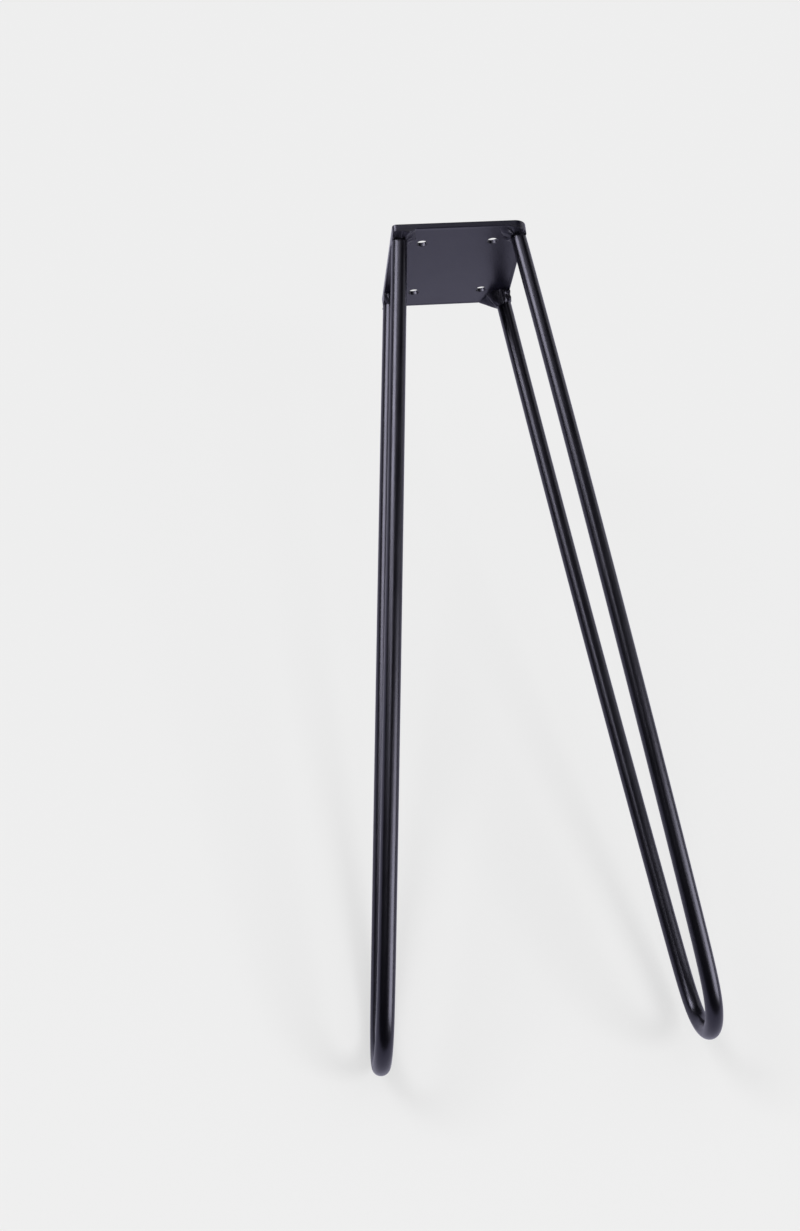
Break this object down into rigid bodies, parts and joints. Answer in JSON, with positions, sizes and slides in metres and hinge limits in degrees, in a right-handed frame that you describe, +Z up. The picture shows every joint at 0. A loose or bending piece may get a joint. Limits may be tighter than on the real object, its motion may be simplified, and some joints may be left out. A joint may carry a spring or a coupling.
{
  "type": "bench leg",
  "caption": "Short black hairpin-style bench leg: a flat screw-on mounting plate carried by two outward-splayed U-bent round rods with heavy weld beads at each rod end",
  "frame": {"origin": "Centre of the mounting plate's flat top face, the face that is screwed to the underside of a bench seat", "axes": "+Z points up out of the plate into the seat and the feet point to -Z; X runs across the two hairpins, which splay outward along it; Y runs along each hairpin's two rods"},
  "size_m": [0.155, 0.0816, 0.4],
  "materials": {
    "plate_powder_coat": "black satin powder coat on flat steel plate",
    "rod_powder_coat": "black satin powder coat on round steel rod",
    "weld_powder_coat": "black satin powder coat over lumpy weld metal, slightly glossier"
  },
  "bodies": {
    "root": {"mounting_plate": "plate_powder_coat", "hairpin_left": "rod_powder_coat", "hairpin_right": "rod_powder_coat", "weld_left_front": "weld_powder_coat", "weld_left_back": "weld_powder_coat", "weld_right_front": "weld_powder_coat", "weld_right_back": "weld_powder_coat"}
  },
  "joints": []
}
